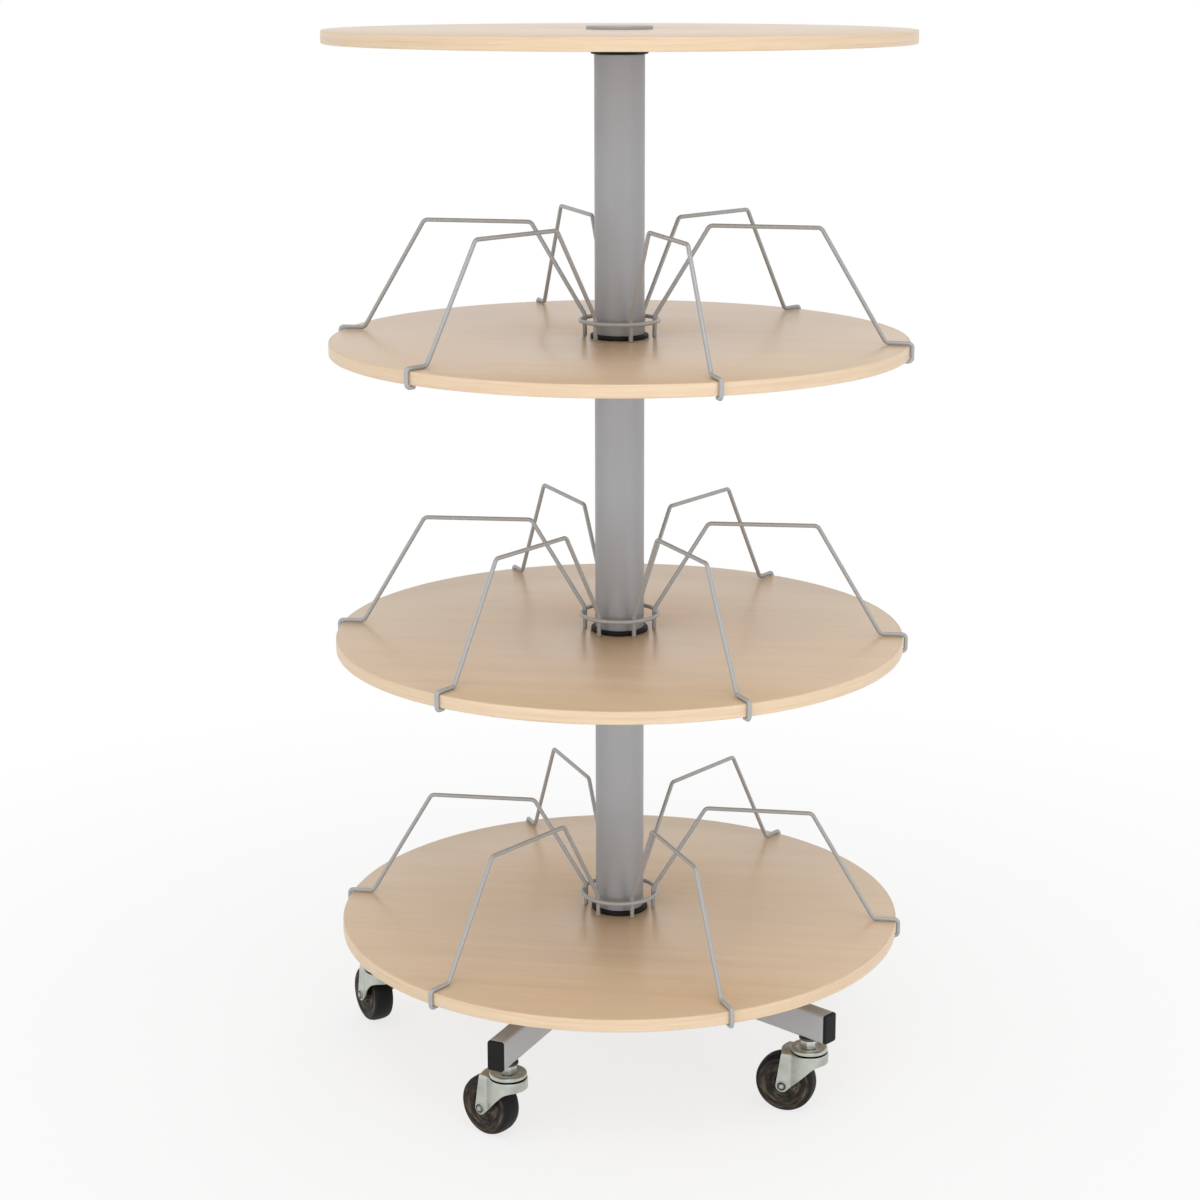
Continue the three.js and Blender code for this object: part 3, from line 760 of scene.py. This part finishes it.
def cap_shape(top):
    """The cover cap: a plug in the mast, a disc in the board's recess and a fine groove."""
    low, high = top + CAP_BOTTOM, top + CAP_HEIGHT
    end = low - CAP_PLUG_LENGTH
    outside, groove, inside = CAP_GROOVE
    points = [
        (0.0, end, 0.0),
        (CAP_PLUG_RADIUS, end, 1.0),
        (CAP_PLUG_RADIUS, low, 0.0),
        (CAP_RADIUS, low, 0.3),
        (CAP_RADIUS, high, 1.1),
        (outside, high, 0.0),
        (groove, high - CAP_GROOVE_DEPTH, 0.0),
        (inside, high, 0.0),
        (0.0, high, 0.0),
    ]
    return lathe(points, TUBE_SEGMENTS, loop=False)


# Base

def hub_shape():
    """The socket that holds the mast and the lowest head bush."""
    floor = HUB_BOTTOM + HUB_FLOOR
    points = [
        (BUSH_BORE, HUB_BOTTOM, 0.5),
        (SLEEVE_RADIUS, HUB_BOTTOM, 0.8),
        (SLEEVE_RADIUS, HUB_TOP, 0.6),
        (SLEEVE_BORE, HUB_TOP, 0.5),
        (SLEEVE_BORE, floor, 1.0),
        (BUSH_BORE, floor, 0.5),
    ]
    return lathe(points, TUBE_SEGMENTS)


def hub_face(y):
    """How far out an arm's wall at y meets the hub."""
    return math.sqrt(SLEEVE_RADIUS * SLEEVE_RADIUS - y * y)


def arm_shape():
    """One rectangular tube along +X, saddled to the hub and welded round."""
    width, height = ARM_SIZE
    middle = ARM_BOTTOM + height / 2
    outer, eased, inner = (
        outline(width - 2 * inset, height - 2 * inset, ARM_CORNER - inset, 6)
        for inset in (0.0, ARM_EASE, ARM_WALL)
    )
    verts, rows = [], []
    stations = [(outer, x) for x in (None, 60.0, 200.0, 300.0, ARM_END - ARM_EASE)]
    stations += [(eased, ARM_END)]
    stations += [(inner, x) for x in (ARM_END, 300.0, None)]
    for loop, x in stations:
        rows.append([len(verts) + i for i in range(len(loop))])
        verts += [(hub_face(y) if x is None else x, y, middle + z) for y, z in loop]
    faces = []
    for a, b in zip(rows, rows[1:] + rows[:1]):
        faces += strip(a, b)
    path = []
    for i, (y, z) in enumerate(outer):
        ahead = outer[(i + 1) % len(outer)]
        span = math.hypot(ahead[0] - y, ahead[1] - z)
        steps = max(1, round(span / SEAM_STEP))
        for k in range(steps):
            across = y + (ahead[0] - y) * k / steps
            height_at = z + (ahead[1] - z) * k / steps
            path.append(Vector((hub_face(across) + 0.4, across, middle + height_at)))
    weld = sweep(path, SEAM_RADIUS, 8, loop=True, ripple=SEAM_RIPPLE)
    return joined((verts, faces), weld)


def end_cap_shape():
    """A moulded cap: stations of (distance past the arm's end, growth, corner)."""
    width, height = ARM_SIZE
    middle = ARM_BOTTOM + height / 2
    stations = (
        (-7.8, -3.8, 1.4),
        (-0.2, -3.8, 1.4),
        (0.15, -3.8, 1.4),
        (0.15, -0.2, 2.9),
        (0.5, 0.0, 3.0),
        (2.1, 0.0, 3.0),
        (2.9, -0.35, 2.9),
        (3.4, -1.1, 2.6),
        (3.6, -2.2, 2.2),
        (3.7, -5.0, 1.6),
    )
    verts, rows = [], []
    for x, grow, corner in stations:
        loop = outline(width + grow, height + grow, corner, 6)
        rows.append([len(verts) + i for i in range(len(loop))])
        verts += [(ARM_END + x, y, middle + z) for y, z in loop]
    faces = [rows[0][::-1], rows[-1]]
    for a, b in zip(rows, rows[1:]):
        faces += strip(a, b)
    return verts, faces


# Castors, with the trail along +X and the stem on Z

def stem_shape():
    """A stem with its race plate, and its riveted end under the fork's crown."""
    points = [
        (0.0, STEM_BOTTOM, 0.0),
        (6.5, STEM_BOTTOM, 1.4),
        (9.0, 73.7, 0.3),
        (NECK_RADIUS, 73.7, 0.0),
        (NECK_RADIUS, 78.4, 0.0),
        (19.1, 78.4, 0.8),
        (19.5, RACE_BOTTOM, 0.2),
        (RACE_RADIUS, RACE_BOTTOM, 0.9),
        (RACE_RADIUS, RACE_TOP, 2.0),
        (17.0, RACE_TOP, 0.6),
        (14.2, RACE_TOP - 0.35, 0.6),
        (12.6, RACE_TOP - 1.2, 0.5),
        (STEM_RADIUS, RACE_TOP - 1.2, 0.0),
        (STEM_RADIUS, STEM_TOP - 1.0, 0.0),
        (STEM_RADIUS - 1.0, STEM_TOP, 0.0),
        (0.0, STEM_TOP, 0.0),
    ]
    return lathe(points, STEM_SEGMENTS, loop=False)


def nut_shape():
    """A hexagon nut with turned corners, under a round flange."""
    bore, low, high = NUT_BORE, NUT_BOTTOM, NUT_TOP
    face = NUT_FLAT * 0.96
    verts, rows = [], []

    def row(radius_at, height_at):
        rows.append([len(verts) + i for i in range(NUT_SIDES)])
        for i in range(NUT_SIDES):
            angle = 2 * math.pi * i / NUT_SIDES
            corner = NUT_FLAT / math.cos((angle + math.pi / 6) % (math.pi / 3) - math.pi / 6)
            radius = radius_at(corner)
            height = height_at(corner)
            verts.append((radius * math.cos(angle), radius * math.sin(angle), height))

    def drop(corner):
        return (corner - face) * math.tan(math.radians(30))

    row(lambda c: bore + 0.5, lambda c: high)
    row(lambda c: face, lambda c: high)
    row(lambda c: c, lambda c: high - drop(c))
    row(lambda c: c, lambda c: low + drop(c))
    row(lambda c: face, lambda c: low)
    row(lambda c: bore + 0.5, lambda c: low)
    row(lambda c: bore, lambda c: low + 0.5)
    row(lambda c: bore, lambda c: high - 0.5)
    faces = []
    for a, b in zip(rows, rows[1:] + rows[:1]):
        faces += strip(a, b)
    top = ARM_BOTTOM - FIT
    points = [
        (bore, high, 0.0),
        (NUT_FLANGE - 0.6, high, 0.3),
        (NUT_FLANGE, high + 0.9, 0.3),
        (NUT_FLANGE, top, 0.5),
        (bore, top, 0.0),
    ]
    return joined((verts, faces), lathe(points, 48))


def leg_bottom(u):
    """Height of the fork's lower edge at a distance along the trail."""
    foot = TRAIL - LEG_RADIUS * math.sqrt(0.5)
    toe = AXLE_HEIGHT - LEG_RADIUS * math.sqrt(0.5)
    if u >= foot:
        return AXLE_HEIGHT - math.sqrt(max(0.0, LEG_RADIUS ** 2 - (u - TRAIL) ** 2))
    skirt = CROWN_TOP - SKIRT
    elbow = foot - (skirt - toe)
    slope = SWEEP * math.sqrt(0.5)
    if u >= elbow + slope:
        return toe + foot - u
    if u <= elbow - SWEEP:
        return skirt
    low, high = 0.0, 1.0
    for _ in range(40):
        t = (low + high) / 2
        x = elbow - SWEEP * (1 - t) ** 2 + slope * t * t
        low, high = (t, high) if x < u else (low, t)
    return skirt - slope * t * t


def leg_lean(u, z):
    """A leg's stations run out from the tongue to the wider end at the axle."""
    if u <= CREASE:
        return u
    narrow = (TONGUE_END - CREASE) / (TRAIL + LEG_RADIUS - CREASE)
    down = min(1.0, max(0.0, (CROWN_TOP - z) / (CROWN_TOP - AXLE_HEIGHT)))
    return CREASE + (u - CREASE) * (narrow + (1 - narrow) * down)


def fork_stations():
    """Plan points and outward directions, from one leg's rear round the crown to the other."""
    half = []
    for k in range(LEG_ARC_STEPS + 1):
        rear = TRAIL + LEG_RADIUS * math.cos(math.radians(LEG_ARC * k / LEG_ARC_STEPS))
        half.append((rear, -LEG_HALF, 0.0, -1.0))
    for x in (18.8, CREASE + 0.7):
        half.append((x, -LEG_HALF, 0.0, -1.0))
    corner = Vector((CREASE, LEG_HALF))
    tangent = math.atan2(corner.y, corner.x) + math.acos(CROWN_RADIUS / corner.length)
    web = Vector((math.cos(tangent), -math.sin(tangent)))
    mitre = (web + Vector((0.0, -1.0))) / (1 - web.y)
    half.append((CREASE, -LEG_HALF, mitre.x, mitre.y))
    end = web * CROWN_RADIUS
    for t in (0.1, 0.5):
        x = CREASE + (end.x - CREASE) * t
        y = -LEG_HALF + (end.y + LEG_HALF) * t
        half.append((x, y, web.x, web.y))
    for k in range(CROWN_STEPS + 1):
        angle = -tangent - (math.pi - tangent) * k / CROWN_STEPS
        c, s = math.cos(angle), math.sin(angle)
        half.append((CROWN_RADIUS * c, CROWN_RADIUS * s, c, s))
    other = [(x, -y, nx, -ny) for x, y, nx, ny in reversed(half[:-1])]
    return half + other


def fork_shape():
    """The outer skin of the pressed fork: plate, rounded shoulder, skirt and legs."""
    stations = fork_stations()
    verts, rows = [], []
    for k in range(SHOULDER_ROWS + 1):
        angle = math.pi / 2 * k / SHOULDER_ROWS
        inset = SHOULDER * (1 - math.sin(angle))
        z = CROWN_TOP - SHOULDER * (1 - math.cos(angle))
        rows.append([len(verts) + i for i in range(len(stations))])
        verts += [(leg_lean(x, z) - nx * inset, y - ny * inset, z) for x, y, nx, ny in stations]
    start = CROWN_TOP - SHOULDER
    for k in range(1, LEG_ROWS + 1):
        rows.append([len(verts) + i for i in range(len(stations))])
        for x, y, _, _ in stations:
            z = start + (leg_bottom(x) - start) * k / LEG_ROWS
            verts.append((leg_lean(x, z), y, z))
    faces = []
    for a, b in zip(rows, rows[1:]):
        faces += strip(a, b, loop=False)
    plate = list(rows[0])
    edge = LEG_HALF - SHOULDER
    for k in range(1, TONGUE_STEPS):
        t = k / TONGUE_STEPS
        plate.append(len(verts))
        reach = TONGUE_END + TONGUE_BULGE * 4 * t * (1 - t)
        verts.append((reach, edge - 2 * edge * t, CROWN_TOP))
    faces.append(plate[::-1])
    return verts, faces


def fork_mesh():
    """The skin given its sheet thickness, with the cut edges eased."""
    mesh = make_mesh("castor_fork_skin", fork_shape(), fork_zinc)
    skin = bpy.data.objects.new("castor_fork_skin", mesh)
    bpy.context.scene.collection.objects.link(skin)
    sheet = skin.modifiers.new("sheet", "SOLIDIFY")
    sheet.thickness = SHEET * MM
    sheet.offset = -1.0
    ease = skin.modifiers.new("ease", "BEVEL")
    ease.width = SHEET_EASE * MM
    ease.segments = 2
    ease.limit_method = "ANGLE"
    ease.angle_limit = math.radians(55)
    graph = bpy.context.evaluated_depsgraph_get()
    finished = bpy.data.meshes.new_from_object(skin.evaluated_get(graph))
    bpy.data.objects.remove(skin)
    finished.name = "castor_fork"
    finished.polygons.foreach_set("use_smooth", [True] * len(finished.polygons))
    finished.set_sharp_from_angle(angle=math.radians(40))
    return finished


def axle_shape():
    """A rivet along Y with a collar and a domed head outside each leg."""
    points = [
        (0.0, -20.95, 0.0),
        (1.7, -20.8, 0.0),
        (3.0, -20.25, 0.0),
        (3.8, -19.3, 0.0),
        (RIVET_RADIUS, -18.6, 0.0),
        (4.8, -18.6, 0.0),
        (5.0, -19.4, 0.2),
        (COLLAR_RADIUS, -19.2, 0.3),
        (COLLAR_RADIUS, -18.3, 0.0),
        (RIVET_RADIUS, -18.3, 0.0),
    ]
    mirrored = [(r, -h, fillet) for r, h, fillet in reversed(points)]
    rivet = lathe(points + mirrored, 40, loop=False)
    return moved(rivet, Matrix.Rotation(math.radians(90), 4, "X"))


def wheel_shape():
    """A solid tyre about Y, with turned rings in its sides and a crowned tread."""
    half = [
        (WHEEL_BORE, 13.9, 0.4),
        (10.4, 14.0, 1.0),
        (11.3, 10.6, 0.9),
        (16.4, 10.1, 0.4),
        (17.2, 11.0, 0.5),
        (20.4, 11.2, 0.5),
        (21.2, 10.5, 0.5),
        (25.6, 11.2, 0.5),
        (26.4, 12.1, 0.5),
        (30.6, 12.5, 1.8),
        (33.2, 10.9, 1.6),
        (34.7, 6.4, 3.0),
        (WHEEL_RADIUS, 1.2, 2.0),
        (WHEEL_RADIUS, 0.35, 0.0),
        (WHEEL_RADIUS - 0.25, 0.2, 0.0),
    ]
    mirrored = [(r, -h, fillet) for r, h, fillet in reversed(half)]
    return moved(lathe(half + mirrored, TUBE_SEGMENTS), Matrix.Rotation(math.radians(90), 4, "X"))


# Assembly

def build_tiers():
    for name, turn, top in zip(TIERS, TIER_TURNS, BOARD_TOPS):
        body = name + "_tier"
        board = make_mesh("board_" + name, board_shape(top, BOARD_BORE), laminate)
        place("board_" + name, board, body, ["shelf_board_" + name])
        rim = make_mesh("rim_" + name, edging_shape(top), edging)
        place("rim_" + name, rim, body, ["shelf_edging_" + name])
        wires = make_mesh("wires_" + name, dividers_shape(turn, top), grey_wire)
        place("wires_" + name, wires, body, ["wire_dividers_" + name])


def build_column():
    for name, level in zip(("base",) + TIERS, BOARD_TOPS + (TOP_BOARD,)):
        shape = head_bush_shape(level - BOARD_THICKNESS - RUNNING_GAP)
        bush = make_mesh("head_ring_" + name, shape, plastic)
        place("head_ring_" + name, bush, "base", ["head_bush_" + name])
    for name, top in zip(TIERS, BOARD_TOPS):
        bush = make_mesh("foot_ring_" + name, foot_bush_shape(top), plastic)
        place("foot_ring_" + name, bush, "base", ["foot_bush_" + name])
        low = top + RUNNING_GAP + FOOT_HEIGHT + FIT
        high = top + TIER_PITCH - BOARD_THICKNESS - RUNNING_GAP - HEAD_HEIGHT - FIT
        tube = tube_shape(SLEEVE_RADIUS, SLEEVE_BORE, low, high)
        sleeve = make_mesh("sleeve_" + name, tube, silver)
        place("sleeve_" + name, sleeve, "base", ["column_sleeve_" + name])
    tube = tube_shape(MAST_RADIUS, MAST_BORE, HUB_BOTTOM, MAST_TOP)
    inner = make_mesh("inner_mast", tube, drawn_tube)
    place("inner_mast", inner, "base", ["mast"])


def build_top():
    board = make_mesh("board_top", board_shape(TOP_BOARD, BUSH_BORE, seat=CAP_SEAT), laminate)
    place("board_top", board, "base", ["top_board"])
    rim = make_mesh("rim_top", edging_shape(TOP_BOARD), edging)
    place("rim_top", rim, "base", ["top_edging"])
    cap = make_mesh("cover_cap", cap_shape(TOP_BOARD), silver_base)
    place("cover_cap", cap, "base", ["top_cover_cap"])


def build_base():
    hub = make_mesh("hub", hub_shape(), silver_base)
    place("hub", hub, "base", ["base_hub"])
    arm = make_mesh("arm", arm_shape(), silver_base)
    end_cap = make_mesh("end_cap", end_cap_shape(), plastic)
    stem = make_mesh("stem", stem_shape(), stem_zinc)
    nut = make_mesh("nut", nut_shape(), nut_zinc, sharp=25.0)
    fork = fork_mesh()
    keep_own_frame(fork)
    axle = make_mesh("axle", axle_shape(), rivet_zinc)
    keep_own_frame(axle)
    wheel = make_mesh("wheel", wheel_shape(), tyre, sharp=30.0)
    keep_own_frame(wheel)
    at_axle = Matrix.Translation(Vector((TRAIL, 0.0, AXLE_HEIGHT)) * MM)
    for i, (direction, trail) in enumerate(zip(ARM_ANGLES, CASTOR_TURNS), 1):
        turn = Matrix.Rotation(math.radians(direction - 90.0), 4, "Z")
        place(f"arm_{i}", turned(arm, turn), "base", [f"base_arm_{i}"])
        place(f"end_cap_{i}", turned(end_cap, turn), "base", [f"arm_end_cap_{i}"])
        castor = Matrix.Translation(plan(direction) * (CASTOR_RADIUS * MM))
        castor = castor @ Matrix.Rotation(math.radians(trail - 90.0), 4, "Z")
        place(f"stem_{i}", turned(stem, castor), "base", [f"castor_stem_{i}"])
        place(f"nut_{i}", turned(nut, castor), "base", [f"castor_lock_nut_{i}"])
        place(f"fork_{i}", turned(fork, castor), f"castor_{i}", [f"castor_fork_{i}"])
        axis = castor @ at_axle
        place(f"axle_{i}", turned(axle, axis), f"castor_{i}", [f"castor_axle_{i}"])
        tread = turned(wheel, axis)
        place(f"wheel_piece_{i}", tread, f"wheel_{i}", [f"castor_wheel_{i}"])


# Studio

IMAGE_SIZE = 1200.0
SENSOR = 36.0
VIEW_AZIMUTH = math.radians(8.6)
VIEW_DISTANCE = 2.848
VIEW_HEIGHT = 1.2927
VIEW_PITCH = math.radians(12.734)
FOCAL_PIXELS = 2462.9
AXIS_PIXEL = (619.6, 528.0)
WORLD_STRENGTH = 0.62
WHITE = (1.0, 1.0, 1.0, 1.0)
FLOOR_HALF = 30.0
FLOOR_COLOUR = (0.90, 0.90, 0.90, 1.0)
# The share of plain white in the floor, by the distance from the column in metres.
FLOOR_FADE = {"From Min": 0.4, "From Max": 1.5, "To Min": 0.76, "To Max": 1.0}


def build_camera():
    data = bpy.data.cameras.new("photo_camera")
    data.sensor_width = SENSOR
    data.lens = FOCAL_PIXELS / IMAGE_SIZE * SENSOR
    data.shift_x = 0.5 - AXIS_PIXEL[0] / IMAGE_SIZE
    data.shift_y = AXIS_PIXEL[1] / IMAGE_SIZE - 0.5
    camera = bpy.data.objects.new("photo_camera", data)
    bpy.context.scene.collection.objects.link(camera)
    out = Vector((math.sin(VIEW_AZIMUTH), -math.cos(VIEW_AZIMUTH), 0.0))
    camera.location = out * VIEW_DISTANCE + Vector((0.0, 0.0, VIEW_HEIGHT))
    camera.rotation_euler = (math.pi / 2 - VIEW_PITCH, 0.0, VIEW_AZIMUTH)
    bpy.context.scene.camera = camera


def seen_directly(tree):
    """1 for camera, glossy and transmission rays, which see the white background."""
    rays = tree.nodes.new("ShaderNodeLightPath")
    first = tree.nodes.new("ShaderNodeMath")
    first.operation = "MAXIMUM"
    tree.links.new(rays.outputs["Is Camera Ray"], first.inputs[0])
    tree.links.new(rays.outputs["Is Glossy Ray"], first.inputs[1])
    second = tree.nodes.new("ShaderNodeMath")
    second.operation = "MAXIMUM"
    tree.links.new(first.outputs[0], second.inputs[0])
    tree.links.new(rays.outputs["Is Transmission Ray"], second.inputs[1])
    return second.outputs[0]


def build_world():
    world = bpy.data.worlds.new("studio")
    world.use_nodes = True
    tree = world.node_tree
    light = tree.nodes["Background"]
    light.inputs["Color"].default_value = WHITE
    light.inputs["Strength"].default_value = WORLD_STRENGTH
    white = tree.nodes.new("ShaderNodeBackground")
    white.inputs["Color"].default_value = WHITE
    white.inputs["Strength"].default_value = 1.0
    mix = tree.nodes.new("ShaderNodeMixShader")
    tree.links.new(seen_directly(tree), mix.inputs["Fac"])
    tree.links.new(light.outputs["Background"], mix.inputs[1])
    tree.links.new(white.outputs["Background"], mix.inputs[2])
    tree.links.new(mix.outputs["Shader"], tree.nodes["World Output"].inputs["Surface"])
    bpy.context.scene.world = world


def build_floor():
    size = FLOOR_HALF
    mesh = bpy.data.meshes.new("floor")
    corners = [(-size, -size, 0.0), (size, -size, 0.0), (size, size, 0.0), (-size, size, 0.0)]
    mesh.from_pydata(corners, [], [(0, 1, 2, 3)])
    floor = bpy.data.objects.new("floor", mesh)
    bpy.context.scene.collection.objects.link(floor)
    material = bpy.data.materials.new("pale_floor")
    material.use_nodes = True
    tree = material.node_tree
    tree.nodes.remove(tree.nodes["Principled BSDF"])
    paint = tree.nodes.new("ShaderNodeBsdfDiffuse")
    paint.inputs["Color"].default_value = FLOOR_COLOUR
    glow = tree.nodes.new("ShaderNodeEmission")
    glow.inputs["Strength"].default_value = 1.0
    place_on_floor = tree.nodes.new("ShaderNodeTexCoord")
    away = tree.nodes.new("ShaderNodeVectorMath")
    away.operation = "LENGTH"
    tree.links.new(place_on_floor.outputs["Object"], away.inputs[0])
    fade = tree.nodes.new("ShaderNodeMapRange")
    for name, number in FLOOR_FADE.items():
        fade.inputs[name].default_value = number
    tree.links.new(away.outputs["Value"], fade.inputs["Value"])
    share = tree.nodes.new("ShaderNodeMath")
    share.operation = "MULTIPLY"
    tree.links.new(fade.outputs["Result"], share.inputs[1])
    tree.links.new(seen_directly(tree), share.inputs[0])
    mix = tree.nodes.new("ShaderNodeMixShader")
    tree.links.new(share.outputs[0], mix.inputs["Fac"])
    tree.links.new(paint.outputs["BSDF"], mix.inputs[1])
    tree.links.new(glow.outputs["Emission"], mix.inputs[2])
    tree.links.new(mix.outputs["Shader"], tree.nodes["Material Output"].inputs["Surface"])
    mesh.materials.append(material)


def soft_box(name, place_at, aim_height, size, power, glossy=True):
    """A lamp aimed at a height on the column, hidden from reflections where glossy is False."""
    data = bpy.data.lights.new(name, "AREA")
    data.shape = "RECTANGLE"
    data.size, data.size_y = size
    data.energy = power
    lamp = bpy.data.objects.new(name, data)
    bpy.context.scene.collection.objects.link(lamp)
    lamp.location = place_at
    lamp.visible_glossy = glossy
    towards = Vector((0.0, 0.0, aim_height)) - Vector(place_at)
    lamp.rotation_euler = towards.to_track_quat("-Z", "Y").to_euler()


def build_studio():
    build_camera()
    build_world()
    build_floor()
    soft_box("left", (-1.8, -2.7, 0.55), 0.45, (1.5, 1.0), power=20.0, glossy=False)
    soft_box("right", (2.6, -2.3, 0.6), 0.45, (1.4, 1.1), power=28.0, glossy=False)
    soft_box("over", (0.3, -2.4, 4.2), 0.5, (2.6, 2.0), power=33.0)
    soft_box("back", (0.8, 3.0, 2.6), 0.7, (2.0, 1.4), power=14.0, glossy=False)
    bpy.context.scene.view_settings.view_transform = "Standard"


build_tiers()
build_column()
build_top()
build_base()
build_studio()
